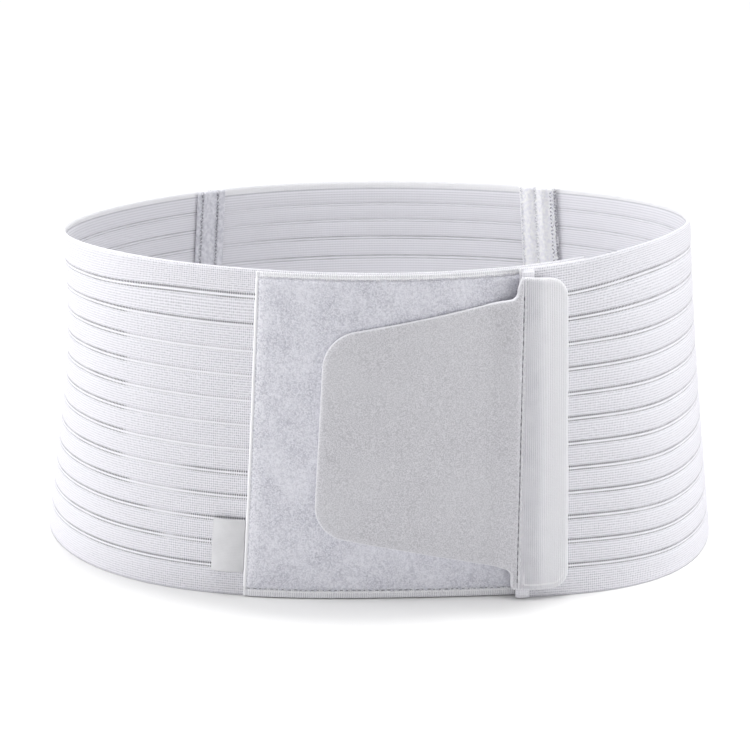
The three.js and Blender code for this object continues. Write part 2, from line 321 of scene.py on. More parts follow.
# %% Helpers for nodes
def fill(tree, socket, value):
    if isinstance(value, bpy.types.NodeSocket):
        tree.links.new(value, socket)
    elif socket.type == "RGBA":
        socket.default_value = (*value, 1)
    else:
        socket.default_value = value


def add_node(tree, kind, sockets, **settings):
    node = tree.nodes.new("ShaderNode" + kind)
    for key, value in settings.items():
        setattr(node, key, value)
    for key, value in sockets.items():
        fill(tree, node.inputs[key], value)
    return node


def calc(tree, operation, *values):
    node = tree.nodes.new("ShaderNodeMath")
    node.operation = operation
    for socket, value in zip(node.inputs, values):
        fill(tree, socket, value)
    return node.outputs[0]


def fade(tree, value, start, end):
    node = add_node(
        tree, "MapRange", {"Value": value, "From Min": start, "From Max": end},
        interpolation_type="SMOOTHSTEP",
    )
    return node.outputs["Result"]


def blend(tree, share, first, second):
    node = add_node(tree, "Mix", {0: share, 6: first, 7: second}, data_type="RGBA")
    return node.outputs[2]


def axis(tree, vector, letter):
    return add_node(tree, "SeparateXYZ", {"Vector": vector}).outputs[letter]


def read_value(tree, name):
    return add_node(tree, "Attribute", {}, attribute_name=name).outputs["Fac"]


def distance(tree, first, second):
    return calc(tree, "ABSOLUTE", calc(tree, "SUBTRACT", first, second))


# %% [markdown]
# Two effects are used by several cloths, so each is a node group that is built once.
# threads makes the small hills of a weave or knit from two waves that cross.
# pile makes the short upright fibres of velour, felt and plush from noise of two sizes, and it also puts
# out a slow blotch, because brushed fibres lie in patches that catch the light differently.

# %% Shared effects
def new_group(name, inputs, outputs):
    group = bpy.data.node_groups.new(name, "ShaderNodeTree")
    for key, kind in inputs.items():
        group.interface.new_socket(key, in_out="INPUT", socket_type=kind)
    for key, kind in outputs.items():
        group.interface.new_socket(key, in_out="OUTPUT", socket_type=kind)
    return group, group.nodes.new("NodeGroupInput").outputs, group.nodes.new("NodeGroupOutput").inputs


def wave(tree, place, pitch):
    turn = calc(tree, "MULTIPLY", calc(tree, "DIVIDE", place, pitch), 2 * math.pi)
    return calc(tree, "MULTIPLY_ADD", calc(tree, "COSINE", turn), 0.5, 0.5)


def make_threads():
    group, given, result = new_group(
        "threads",
        {"Place": "NodeSocketVector", "Pitch along": "NodeSocketFloat", "Pitch up": "NodeSocketFloat"},
        {"Along": "NodeSocketFloat", "Up": "NodeSocketFloat", "Both": "NodeSocketFloat"},
    )
    along = wave(group, axis(group, given["Place"], "X"), given["Pitch along"])
    up = wave(group, axis(group, given["Place"], "Y"), given["Pitch up"])
    fill(group, result["Along"], along)
    fill(group, result["Up"], up)
    fill(group, result["Both"], calc(group, "MULTIPLY", along, up))
    return group


def make_pile():
    group, given, result = new_group(
        "pile",
        {"Place": "NodeSocketVector", "Fibre": "NodeSocketFloat", "Patch": "NodeSocketFloat"},
        {"Height": "NodeSocketFloat", "Blotch": "NodeSocketFloat"},
    )

    def noise(size, detail):
        scale = calc(group, "DIVIDE", 1.0, size)
        node = add_node(group, "TexNoise", {"Vector": given["Place"], "Scale": scale, "Detail": detail})
        return node.outputs["Fac"]

    fill(group, result["Height"], noise(given["Fibre"], 3.0))
    fill(group, result["Blotch"], fade(group, noise(given["Patch"], 4.0), 0.3, 0.7))
    return group


THREADS = make_threads()
PILE = make_pile()
print("shared effects:", [group.name for group in bpy.data.node_groups])


# %% A cloth material
def new_cloth(name):
    material = bpy.data.materials.new(name)
    material.use_nodes = True
    tree = material.node_tree
    shader = tree.nodes["Principled BSDF"]
    shader.inputs["Roughness"].default_value = 0.9
    shader.inputs["Specular IOR Level"].default_value = 0.2
    return material, tree, shader


def flat_place(tree):
    return add_node(tree, "UVMap", {}, uv_map="flat").outputs["UV"]


def solid_place(tree):
    coordinates = add_node(tree, "TexCoord", {}).outputs["Object"]
    scaled = add_node(tree, "VectorMath", {0: coordinates, "Scale": 1 / MM}, operation="SCALE")
    return scaled.outputs["Vector"]


def use_group(tree, group, sockets):
    node = add_node(tree, "Group", {}, node_tree=group)
    for key, value in sockets.items():
        fill(tree, node.inputs[key], value)
    return node.outputs


def set_relief(tree, shader, height, depth):
    bump = add_node(tree, "Bump", {"Height": height, "Distance": depth * MM, "Strength": 1.0})
    fill(tree, shader.inputs["Normal"], bump.outputs["Normal"])


# %% [markdown]
# The webbing is knitted in thirteen ribs. Between two ribs a narrow openwork band lets the skin breathe:
# two rows of tiny holes with one thread between them. The ribs are real relief in the mesh, because
# they show in the outline, but thousands of holes are drawn in the material as dots of painted shade,
# the shade that shows through a hole. The value "hole_shade" says how dark that painted shade is:
# darkest where the cloth is stretched over the front, paler inside, and hardly dark where the soft patch
# lies close behind the cloth. "inside" picks the plainer look of the inner face, and "stretch" says how
# much of the knit's own shade shows between its cords.

# %% The sizes of the webbing
WEB_THICKNESS = 2.0
RIB_COUNT = 13
FIRST_GROOVE = 14.6
GROOVE_STEP = (BELT_HEIGHT - 2 * FIRST_GROOVE) / (RIB_COUNT - 2)
HOLE_ROW = 0.88
HOLE_PITCH = 1.15
CORD_PITCH = GROOVE_STEP / 10
INNER_CORD_PITCH = GROOVE_STEP / 8
KNIT_PITCH = 1.0
WEB_LIGHT = (0.895, 0.888, 0.935)
WEB_DARK = (0.42, 0.42, 0.47)
INNER_LIGHT = (0.875, 0.87, 0.915)
INNER_DARK = (0.5, 0.5, 0.54)
SELVEDGE = 4.7
GROOVES = [FIRST_GROOVE + number * GROOVE_STEP for number in range(RIB_COUNT - 1)]
HALF_GROOVE = [0.45, 0.7, HOLE_ROW, 1.05, 1.25, 1.8, 2.9]
GROOVE_ROWS = [-row for row in reversed(HALF_GROOVE)] + [0.0] + HALF_GROOVE
RIM_ROWS = (0.0, 0.15, 0.5, 1.1, 2.2, SELVEDGE - 0.4, SELVEDGE, SELVEDGE + 0.4, 7.5, 10.0)


def web_heights():
    rows = list(RIM_ROWS)
    for number, groove in enumerate(GROOVES):
        rows += [groove + row for row in GROOVE_ROWS]
        if number < len(GROOVES) - 1:
            rows.append(groove + GROOVE_STEP / 2)
    rows += [BELT_HEIGHT - row for row in reversed(RIM_ROWS)]
    return rows


def web_dent(z):
    number = np.clip(np.round((z - FIRST_GROOVE) / GROOVE_STEP), 0, len(GROOVES) - 1)
    away = np.abs(z - FIRST_GROOVE - number * GROOVE_STEP)
    from_rim = np.minimum(z, BELT_HEIGHT - z)
    flank = 0.28 * (1 - smooth(0.9, 3.4, away))
    holes = 0.28 * np.exp(-(((away - HOLE_ROW) / 0.26) ** 2))
    rim = 0.7 * (1 - smooth(0, 1.0, from_rim))
    return flank + holes + rim


def web_relief(s, z, out):
    from_rim = np.minimum(z, BELT_HEIGHT - z)
    line = 0.25 * np.exp(-(((from_rim - SELVEDGE) / 0.3) ** 2))
    return np.where(out > -WEB_THICKNESS / 2, -web_dent(z), 0.7 * web_dent(z) + line)


# %% The webbing's finish
def make_webbing():
    material, tree, shader = new_cloth("webbing")
    place = flat_place(tree)
    height = axis(tree, place, "Y")
    number = calc(tree, "DIVIDE", calc(tree, "SUBTRACT", height, FIRST_GROOVE), GROOVE_STEP)
    number = calc(tree, "MAXIMUM", calc(tree, "ROUND", number), 0.0)
    number = calc(tree, "MINIMUM", number, float(len(GROOVES) - 1))
    away = calc(tree, "SUBTRACT", height, calc(tree, "MULTIPLY_ADD", number, GROOVE_STEP, FIRST_GROOVE))
    rib_place = add_node(tree, "CombineXYZ", {"X": axis(tree, place, "X"), "Y": away}).outputs["Vector"]

    def threads(along, up):
        return use_group(tree, THREADS, {"Place": rib_place, "Pitch along": along, "Pitch up": up})

    knit = threads(KNIT_PITCH, CORD_PITCH)
    ladder = threads(HOLE_PITCH, INNER_CORD_PITCH)
    uneven = use_group(tree, PILE, {"Place": place, "Fibre": 0.9, "Patch": 14.0})
    hole_shade = read_value(tree, "hole_shade")
    inside = read_value(tree, "inside")

    # Painted shade: dark dots in each groove's two hole rows stand for the shade seen through the holes.
    lower_row = calc(tree, "MULTIPLY", fade(tree, distance(tree, away, -HOLE_ROW), 0.5, 0.16), 0.8)
    rows = calc(tree, "MAXIMUM", fade(tree, distance(tree, away, HOLE_ROW), 0.66, 0.24), lower_row)
    dots = calc(tree, "MULTIPLY_ADD", fade(tree, ladder["Along"], 0.25, 0.75), 0.96, 0.04)
    dots = calc(tree, "ADD", dots, calc(tree, "MULTIPLY", inside, calc(tree, "SUBTRACT", 0.7, dots)))
    # A slow blotch makes that painted shade uneven.
    hole_shade_blotch = calc(tree, "MULTIPLY_ADD", uneven["Blotch"], 0.3, 0.7)
    holes = calc(tree, "MULTIPLY", calc(tree, "MULTIPLY", rows, dots), calc(tree, "MULTIPLY", hole_shade_blotch, hole_shade))

    rib = fade(tree, calc(tree, "ABSOLUTE", away), 1.15, 1.65)
    rib = calc(tree, "MAXIMUM", rib, calc(tree, "MULTIPLY_ADD", hole_shade, -0.55, 0.62))
    low_up = calc(tree, "SUBTRACT", 1.0, knit["Up"])
    low_along = calc(tree, "SUBTRACT", 1.0, knit["Along"])
    shade = calc(tree, "MULTIPLY_ADD", low_up, 0.3, calc(tree, "MULTIPLY", low_along, 0.26))
    shade = calc(tree, "MULTIPLY_ADD", calc(tree, "MULTIPLY", low_up, low_along), 0.44, shade)
    patchy = calc(tree, "MULTIPLY_ADD", fade(tree, uneven["Height"], 0.3, 0.7), 0.6, 0.4)
    pulled = calc(tree, "MULTIPLY_ADD", read_value(tree, "stretch"), 0.76, 0.42)
    shade = calc(tree, "MULTIPLY", calc(tree, "MULTIPLY", shade, rib), calc(tree, "MULTIPLY", patchy, pulled))
    cloth = blend(tree, shade, WEB_LIGHT, WEB_DARK)
    inner_lines = calc(tree, "MULTIPLY", calc(tree, "SUBTRACT", 1.0, ladder["Up"]), rib)
    inner_cloth = blend(tree, calc(tree, "MULTIPLY", inner_lines, 0.34), INNER_LIGHT, INNER_DARK)
    edge = calc(tree, "MINIMUM", height, calc(tree, "SUBTRACT", BELT_HEIGHT, height))
    inner_cloth = blend(tree, fade(tree, edge, SELVEDGE, SELVEDGE - 0.8), inner_cloth, (0.95, 0.95, 0.97))
    line = fade(tree, distance(tree, edge, SELVEDGE), 0.6, 0.15)
    inner_cloth = blend(tree, calc(tree, "MULTIPLY", line, 0.24), inner_cloth, (0.25, 0.25, 0.29))
    cloth = blend(tree, inside, cloth, inner_cloth)
    fill(tree, shader.inputs["Base Color"], blend(tree, holes, cloth, (0.05, 0.05, 0.06)))

    relief = calc(tree, "MULTIPLY_ADD", shade, -1.0, calc(tree, "MULTIPLY", holes, -1.5))
    set_relief(tree, shader, calc(tree, "MULTIPLY_ADD", uneven["Height"], 0.5, relief), 0.2)
    return material


WEBBING = make_webbing()

# %% [markdown]
# The loop is sewn from three lengths of webbing. The left one is the longest: it runs over the front
# and goes on behind the right one, so it sinks inwards step by step to make room for it.
# Worn elastic is never quite even, so the ribs also wander up and down by a few millimetres, and the upper
# rows of the inner face crowd towards the rim.

# %% The sizes of the seams and the closure
SEAM_GAP = 0.3
LAYER_GAP = 0.4
LEFT_SEAM = -362.0
RIGHT_SEAM = 380.0
CLOSURE_PLACE = 64.8
CLOSURE_LEAN = 1.9
OVERLAP = 44.0
SINK_LENGTH = 180.0
SINK_END = CLOSURE_PLACE - 7.0
SINK_DEPTH = 4.84
VELOUR_THICKNESS = 1.6
PANEL_REACH = 63.3
PANEL_LEAN = 8.0
PANEL_STITCH = 4.5
PANEL_HEM = 1.9
PATCH_REACH = 138.0
PATCH_BOTTOM = 22.0
PATCH_TOP = 134.0
PATCH_RIGHT = 38.0
loop_length = right_half + left_half


def steady(value):
    return lambda place: value + 0 * place


def left_out(s):
    return -SINK_DEPTH * smooth(SINK_END - SINK_LENGTH, SINK_END, s)


def closure_seam(z):
    return CLOSURE_PLACE + CLOSURE_LEAN * (z / BELT_HEIGHT - 0.5)


def band_edge(z):
    return closure_seam(z) + SEAM_GAP


def panel_left(z):
    return PANEL_LEAN * (z / BELT_HEIGHT - 0.5) - PANEL_REACH


def patch_left(z):
    return 27 * (1 - smooth(24, 62, z)) - PATCH_REACH


# %% How the ribs wander
INNER_CROWDING = 5.1


def inner_lift(s, z):
    down = np.clip((BELT_HEIGHT - 12 - z) / 36, 0, 1)
    crowded = INNER_CROWDING * np.sin(np.pi / 2 * down) * smooth(15, 60, z)
    high = 1.5 * smooth(BELT_HEIGHT, BELT_HEIGHT - 5, z) * smooth(128, 146, z)
    return crowded + np.where(s > RIGHT_SEAM, 0, high)


def rib_lift(s, z, out):
    return np.where(out > -0.55 * WEB_THICKNESS, outer_lift(s, z), inner_lift(s, z))


def outer_lift(s, z):
    height = z / BELT_HEIGHT
    left_sag = -1.3 * np.sin(np.pi * height) * (1 - 0.4 * smooth(-145, -105, s))
    left_rise = 2.2 * smooth(-165, -95, s) * np.exp(-(((z - 148) / 8) ** 2))
    left = (left_sag + left_rise) * smooth(-300, -190, s) * (1 - smooth(-60, 0, s))
    right_sag = -np.sin(np.pi * height**0.6) + 0.75 * np.exp(-(((z - 148) / 14) ** 2))
    right = 3.4 * right_sag * smooth(85, 160, s) * (1 - smooth(190, 300, s))
    return left + right


def web_stretch(s, start):
    away = np.abs(np.where(s > right_half, s - right_half - left_half, s))
    return 1 - 0.5 * smooth(start, start + 80, away)


# Painted shade: how dark the holes look. The patch close behind keeps them pale; where it is loose, they
# darken.
def web_hole_shade(s, z, outside):
    behind = smooth(0, 3, s - patch_left(z)) * (s < PATCH_RIGHT) * (z > PATCH_BOTTOM) * (z < PATCH_TOP)
    loose = 0.8 * smooth(-110, -90, s) * (1 - smooth(62, 72, z))
    by_side = np.where((s > 0) & (s < RIGHT_SEAM), 1.45 - 0.4 * smooth(75, 160, s), 1.3)
    from_left_seam = loop_length + LEFT_SEAM - s
    at_back = s > RIGHT_SEAM
    inside = 0.66 * (0.4 + 0.6 * smooth(10, 70, np.where(at_back, from_left_seam, 70)))
    inside = inside * np.where(at_back, 1 - 0.6 * smooth(116, 142, z), np.where(s > 0, 0.55, 0.8))
    return np.where(outside, web_stretch(s, 130) * by_side * (1 - 0.7 * behind * (1 - loose)), inside)


# %% The three bands
def make_band(name, left, right, base, columns):
    bm = flat_grid(web_heights(), left, right, columns)
    thicken(bm, WEB_THICKNESS)
    bmesh.ops.translate(bm, verts=bm.verts[:], vec=(0, 0, -WEB_THICKNESS))
    flat = flat_places(bm)
    outside = flat[:, 2] > -WEB_THICKNESS / 2
    hole_shade = web_hole_shade(flat[:, 0], flat[:, 1], outside)
    move_out(bm, web_relief)
    piece = make_piece(name + "_cloth", bm, base, WEBBING, rib_lift)
    set_values(piece, "hole_shade", hole_shade)
    set_values(piece, "inside", np.where(outside, 0.0, 1.0))
    set_values(piece, "stretch", web_stretch(flat[:, 0], 100))
    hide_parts(name)
    return piece


half_gap = SEAM_GAP / 2
left_band = make_band(
    "left_band", steady(LEFT_SEAM + half_gap), steady(CLOSURE_PLACE + OVERLAP), left_out, 150
)
right_band = make_band("right_band", band_edge, steady(RIGHT_SEAM - half_gap), steady(0), 105)
back_band = make_band(
    "back_band", steady(RIGHT_SEAM + half_gap), steady(loop_length + LEFT_SEAM - half_gap), steady(0), 72
)

# %% [markdown]
# The velour panel is a thick brushed cloth sewn over the front end of the left band. Its pile gives way
# where it is stitched, so the sheet dips to its two stitch lines and swells between them. Outside the lines
# the cloth is bound and finely ribbed. The free edge is turned in and sewn, which leaves a smooth roll that
# catches the light.

# %% The velour's finish
VELOUR_DARK = (0.48, 0.48, 0.55)
VELOUR_LIGHT = (0.815, 0.815, 0.88)
TOP_STITCH_RISE = 1.4


def make_velour():
    material, tree, shader = new_cloth("velour")
    shader.inputs["Sheen Weight"].default_value = 0.3
    place = solid_place(tree)
    pile = use_group(tree, PILE, {"Place": place, "Fibre": 0.75, "Patch": 1.9})
    clouds = use_group(tree, PILE, {"Place": place, "Fibre": 1.6, "Patch": 13.0})
    flat = flat_place(tree)
    ticks = use_group(tree, THREADS, {"Place": flat, "Pitch along": 1.05, "Pitch up": 1.0})
    height = axis(tree, flat, "Y")
    edge = calc(tree, "MINIMUM", height, calc(tree, "SUBTRACT", BELT_HEIGHT + TOP_STITCH_RISE, height))
    mottle = calc(tree, "MULTIPLY_ADD", pile["Blotch"], 0.42, calc(tree, "MULTIPLY", clouds["Blotch"], 0.42))
    color = blend(tree, mottle, VELOUR_DARK, VELOUR_LIGHT)
    speck = fade(tree, pile["Height"], 0.4, 0.64)
    color = blend(tree, calc(tree, "MULTIPLY", speck, 0.7), color, (0.86, 0.86, 0.92))
    ragged = calc(tree, "MULTIPLY_ADD", calc(tree, "SUBTRACT", pile["Blotch"], 0.5), 1.4, edge)
    bound = fade(tree, ragged, PANEL_STITCH + 0.3, PANEL_STITCH - 0.5)
    tick = calc(tree, "MULTIPLY", ticks["Along"], calc(tree, "MULTIPLY_ADD", clouds["Blotch"], 0.5, 0.5))
    rim = blend(tree, tick, (0.93, 0.93, 0.96), (0.66, 0.66, 0.71))
    ridge = fade(tree, distance(tree, edge, PANEL_STITCH - 1.0), 0.6, 0.2)
    color = blend(tree, bound, color, blend(tree, ridge, rim, (0.95, 0.95, 0.98)))
    fuzz = calc(tree, "MULTIPLY", read_value(tree, "near_edge"), fade(tree, pile["Height"], 0.35, 0.6))
    color = blend(tree, calc(tree, "MULTIPLY", fuzz, 0.6), color, (0.9, 0.9, 0.95))
    hem = read_value(tree, "edge")
    fill(tree, shader.inputs["Base Color"], blend(tree, hem, color, (0.92, 0.92, 0.95)))
    relief = calc(tree, "MULTIPLY_ADD", clouds["Height"], 1.2, pile["Height"])
    relief = calc(tree, "MULTIPLY", relief, calc(tree, "SUBTRACT", 1.0, calc(tree, "MAXIMUM", hem, bound)))
    sewn = calc(tree, "MULTIPLY", ticks["Along"], bound)
    set_relief(tree, shader, calc(tree, "MULTIPLY_ADD", sewn, 0.6, relief), 0.35)
    return material


VELOUR = make_velour()


# %% The velour panel
def velour_swell(s, z, out):
    from_rim = np.minimum(z, BELT_HEIGHT - z)
    from_edge = s - panel_left(z)
    from_stitch = np.minimum(z, BELT_HEIGHT + TOP_STITCH_RISE - z) - PANEL_STITCH
    bound = 0.6 * (1 - smooth(-0.2, 2.2, from_stitch))
    stitch = 0.45 * np.exp(-((from_stitch / 0.5) ** 2))
    rim = 0.5 * (1 - smooth(0, 1.0, from_rim))
    roll = 0.5 * (1 - smooth(0, 0.7, from_edge)) + 0.45 * np.exp(-(((from_edge - PANEL_HEM) / 0.5) ** 2))
    return np.where(out > VELOUR_THICKNESS / 2, -(bound + stitch + rim + roll), 0)


def make_velour_panel():
    rim_rows = (0.5, 0.8, 1.5, 2.4, 2.8, 3.1, 3.4, 3.8, 4.2, 4.5, 4.8, 5.2, 6.0, 7.4, 9.0)
    heights = list(rim_rows)
    heights += [float(z) for z in range(11, 150, 2)]
    heights += [BELT_HEIGHT - row for row in reversed(rim_rows)]
    edge_columns = (0.0, 0.15, 0.4, 0.75, 1.1, 1.45, 1.7, 1.9, 2.1, 2.4, 3.0, 4.5)
    columns = len(edge_columns) + 80
    bm = flat_grid(heights, panel_left, steady(CLOSURE_PLACE + OVERLAP), columns)
    for vert in bm.verts:
        left = panel_left(vert.co.y)
        number = round((vert.co.x - left) / (CLOSURE_PLACE + OVERLAP - left) * columns)
        if number < len(edge_columns):
            vert.co.x = left + edge_columns[number]
        else:
            share = (number - len(edge_columns) + 1) / (columns - len(edge_columns) + 1)
            first = left + edge_columns[-1]
            vert.co.x = first + (CLOSURE_PLACE + OVERLAP - first) * share
    thicken(bm, VELOUR_THICKNESS)
    flat = flat_places(bm)
    from_edge = flat[:, 0] - panel_left(flat[:, 1])
    move_out(bm, velour_swell)
    piece = make_piece("velour_panel_cloth", bm, lambda s: left_out(s) + LAYER_GAP, VELOUR)
    set_values(piece, "edge", 1 - smooth(1.2, PANEL_HEM, from_edge))
    set_values(piece, "near_edge", 1 - smooth(2, 9, from_edge))
    return piece


velour_panel = make_velour_panel()
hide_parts("velour_panel")

# %% [markdown]
# The end of the right band is folded over into a hem, and a corded strip with rounded ends is sewn on it.
# The strip rests on the hem at its left side and comes down to the webbing at its right side.

# %% The sizes of the hem and the strip
HEM_THICKNESS = 1.2
HEM_WIDTH = 6.4
STRIP_THICKNESS = 2.2
STRIP_WIDTH = 25.2
STRIP_BOTTOM = 5.6
STRIP_TOP = 156.6
STRIP_SLOPE = 3.4
STRIP_STITCH = 2.7
STRIP_FALL = 8.0
STRIP_HIGH = 2 * LAYER_GAP + HEM_THICKNESS
STRIP_FALL_START = closure_seam(BELT_HEIGHT) + SEAM_GAP + HEM_WIDTH + SEAM_GAP


def strip_base(s):
    return STRIP_HIGH + (LAYER_GAP - STRIP_HIGH) * smooth(STRIP_FALL_START, STRIP_FALL_START + STRIP_FALL, s)


# %% The corded finish
def make_corded():
    material, tree, shader = new_cloth("corded_tape")
    shader.inputs["Sheen Weight"].default_value = 0.3
    cords = use_group(tree, THREADS, {"Place": flat_place(tree), "Pitch along": 1.02, "Pitch up": 0.8})
    fuzz = use_group(tree, PILE, {"Place": solid_place(tree), "Fibre": 0.6, "Patch": 9.0})
    valley = calc(tree, "MULTIPLY_ADD", cords["Along"], -0.75, 1.0)
    valley = calc(tree, "MULTIPLY_ADD", cords["Up"], -0.25, valley)
    # Painted shade and light: darker near the seam on the left, where shade falls, lighter on the right,
    # facing the light.
    shade_to_light = fade(tree, axis(tree, flat_place(tree), "X"), CLOSURE_PLACE + 3, CLOSURE_PLACE + 20)
    color = blend(tree, shade_to_light, (0.645, 0.638, 0.685), (0.875, 0.866, 0.905))
    color = blend(tree, calc(tree, "MULTIPLY", valley, 0.22), color, (0.46, 0.46, 0.5))
    color = blend(tree, calc(tree, "MULTIPLY", fuzz["Blotch"], 0.25), color, (0.86, 0.86, 0.89))
    away = read_value(tree, "from_outline")
    ragged = calc(tree, "MULTIPLY_ADD", calc(tree, "SUBTRACT", fuzz["Height"], 0.5), 2.4, away)
    fuzzy = calc(tree, "MULTIPLY", fade(tree, ragged, 1.3, 0.3), 0.75)
    color = blend(tree, fuzzy, color, (0.9, 0.9, 0.93))
    at_bottom = fade(tree, axis(tree, flat_place(tree), "Y"), STRIP_BOTTOM + 10, STRIP_BOTTOM + 6)
    row = calc(tree, "MULTIPLY", fade(tree, distance(tree, away, STRIP_STITCH), 0.6, 0.2), at_bottom)
    color = blend(tree, calc(tree, "MULTIPLY", row, 0.5), color, (0.95, 0.95, 0.97))
    fill(tree, shader.inputs["Base Color"], color)
    relief = calc(tree, "MULTIPLY_ADD", fuzz["Height"], 1.0, cords["Along"])
    set_relief(tree, shader, calc(tree, "MULTIPLY_ADD", cords["Up"], 0.25, relief), 0.2)
    return material


CORDED = make_corded()


# %% The hem and the strip
def make_end_hem():
    heights = [0.5, 0.7, 1.2, 2.0] + [float(z) for z in range(4, 157, 3)] + [158.0, 158.8, 159.3, 159.5]
    bm = flat_grid(heights, band_edge, lambda z: band_edge(z) + HEM_WIDTH, 16)
    thicken(bm, HEM_THICKNESS)

    def pillow(s, z, out):
        across = (s - band_edge(z)) / HEM_WIDTH
        from_rim = np.minimum(z - 0.5, BELT_HEIGHT - 0.5 - z)
        crown = np.sqrt(np.clip(1 - (2 * across - 1) ** 4, 0.02, 1))
        swell = 0.5 * (1 - smooth(3, 6, from_rim))
        fall = 0.9 * (1 - smooth(0, 1.2, from_rim))
        return np.where(out > HEM_THICKNESS / 2, (HEM_THICKNESS + swell) * crown - HEM_THICKNESS - fall, 0)

    move_out(bm, pillow)
    piece = make_piece("end_hem_cloth", bm, steady(LAYER_GAP), WEBBING)
    set_values(piece, "hole_shade", np.zeros(len(piece.data.vertices)))
    set_values(piece, "inside", np.zeros(len(piece.data.vertices)))
    set_values(piece, "stretch", np.zeros(len(piece.data.vertices)))
    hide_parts("end_hem")
    return piece


def make_closure_strip():
    corners = [
        {"s": band_edge(STRIP_BOTTOM), "z": STRIP_BOTTOM, "cut": 1.2},
        {"s": band_edge(STRIP_BOTTOM) + STRIP_WIDTH, "z": STRIP_BOTTOM - STRIP_SLOPE / 3, "cut": 9.0},
        {"s": band_edge(STRIP_TOP) + STRIP_WIDTH, "z": STRIP_TOP - STRIP_SLOPE, "cut": 9.0},
        {"s": band_edge(STRIP_TOP), "z": STRIP_TOP, "cut": 1.2},
    ]
    bm, away = shaped_sheet(corners, STRIP_THICKNESS, (0.2, 0.5, 0.8), 1.5, 1.6, 0.45)
    piece = make_piece("closure_strip_cloth", bm, strip_base, CORDED)
    set_values(piece, "from_outline", away)
    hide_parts("closure_strip")
    return piece


end_hem = make_end_hem()
closure_strip = make_closure_strip()

# %% [markdown]
# The flap is a single felt sheet. It lies on the velour, and near its seam it climbs to the strip.
# Its outline is a trapezium with rounded ends, and narrow necks go on along the seam above and below.
# A vertex bevel rounds the corners of the neck inwards as well as outwards.

# %% The sizes of the flap
TAB_THICKNESS = 2.0
TAB_REACH = 29.7
TAB_LEAN = 5.8
TAB_TIP_BOTTOM = 34.0
TAB_TIP_TOP = 130.6
TAB_TIP_CORNER = 14.0
TAB_NECK_BOTTOM = 14.8
TAB_NECK_TOP = 146.8
TAB_NECK_WIDTH = 2.8
TAB_NECK_CORNER = 2.4
TAB_RISE = 14.0
TAB_HIGH = STRIP_HIGH + STRIP_THICKNESS - TAB_THICKNESS


def tab_base(s):
    low = left_out(s) + VELOUR_THICKNESS + 2 * LAYER_GAP
    return low + (TAB_HIGH - low) * smooth(CLOSURE_PLACE - TAB_RISE, CLOSURE_PLACE, s)


# %% The felt's finish
def make_felt():
    material, tree, shader = new_cloth("felt")
    shader.inputs["Sheen Weight"].default_value = 0.35
    place = solid_place(tree)
    felt = use_group(tree, PILE, {"Place": place, "Fibre": 0.6, "Patch": 2.6})
    clouds = use_group(tree, PILE, {"Place": place, "Fibre": 1.2, "Patch": 30.0})
    speck = fade(tree, felt["Height"], 0.32, 0.68)
    color = blend(tree, speck, (0.49, 0.486, 0.52), (0.72, 0.712, 0.75))
    color = blend(tree, calc(tree, "MULTIPLY", clouds["Blotch"], 0.3), color, (0.68, 0.68, 0.71))
    away = read_value(tree, "from_outline")
    # Painted highlight: the colour is lighter within a millimetre of the outline, where the flap's rounded
    # edge is lit.
    edge_highlight = calc(tree, "MULTIPLY", fade(tree, away, 0.8, 0.1), 0.65)
    fill(tree, shader.inputs["Base Color"], blend(tree, edge_highlight, color, (0.88, 0.88, 0.92)))
    relief = calc(tree, "MULTIPLY_ADD", clouds["Height"], 0.6, felt["Height"])
    set_relief(tree, shader, relief, 0.15)
    return material


FELT = make_felt()


# %% The flap
def make_closure_tab():
    middle = (TAB_TIP_BOTTOM + TAB_TIP_TOP) / 2
    slope = TAB_LEAN / (TAB_TIP_TOP - TAB_TIP_BOTTOM)

    def tip(z):
        return slope * (z - middle) - TAB_REACH

    def neck(z):
        return closure_seam(z) - TAB_NECK_WIDTH

    corners = [
        {"s": closure_seam(STRIP_BOTTOM), "z": STRIP_BOTTOM, "cut": 0},
        {"s": closure_seam(STRIP_TOP), "z": STRIP_TOP, "cut": 0},
        {"s": closure_seam(STRIP_TOP) - 0.7, "z": STRIP_TOP, "cut": 0.5},
        {"s": neck(STRIP_TOP), "z": STRIP_TOP - 4.4, "cut": 2.0},
        {"s": neck(TAB_NECK_TOP), "z": TAB_NECK_TOP, "cut": 3.0},
        {"s": tip(TAB_TIP_TOP), "z": TAB_TIP_TOP, "cut": TAB_TIP_CORNER},
        {"s": tip(TAB_TIP_BOTTOM), "z": TAB_TIP_BOTTOM, "cut": TAB_TIP_CORNER},
        {"s": neck(TAB_NECK_BOTTOM), "z": TAB_NECK_BOTTOM, "cut": TAB_NECK_CORNER},
        {"s": neck(STRIP_BOTTOM), "z": STRIP_BOTTOM, "cut": TAB_NECK_CORNER},
    ]
    bm, away = shaped_sheet(corners, TAB_THICKNESS, (0.2, 0.5, 0.6), 1.8, 2.4, 0.5)
    piece = make_piece("closure_tab_felt", bm, tab_base, FELT)
    set_values(piece, "from_outline", away)
    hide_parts("closure_tab")
    return piece


closure_tab = make_closure_tab()

# %% [markdown]
# The label is a folded bit of satin ribbon, held by the seam of the panel. It stays bare here.

# %% The label
LABEL_THICKNESS = 1.0
LABEL_WIDTH = 16.2
LABEL_BOTTOM = 12.5
LABEL_TOP = 38.7
LABEL_SWELL = 1.2


def make_satin():
    material, tree, shader = new_cloth("satin")
    shader.inputs["Roughness"].default_value = 0.55
    place = flat_place(tree)
    weave = use_group(tree, THREADS, {"Place": place, "Pitch along": 0.55, "Pitch up": 0.8})
    soft = use_group(tree, PILE, {"Place": place, "Fibre": 0.8, "Patch": 12.0})
    color = blend(tree, soft["Blotch"], (0.66, 0.66, 0.68), (0.74, 0.74, 0.76))
    fill(tree, shader.inputs["Base Color"], color)
    set_relief(tree, shader, calc(tree, "MULTIPLY_ADD", soft["Height"], 0.5, weave["Both"]), 0.06)
    return material


SATIN = make_satin()


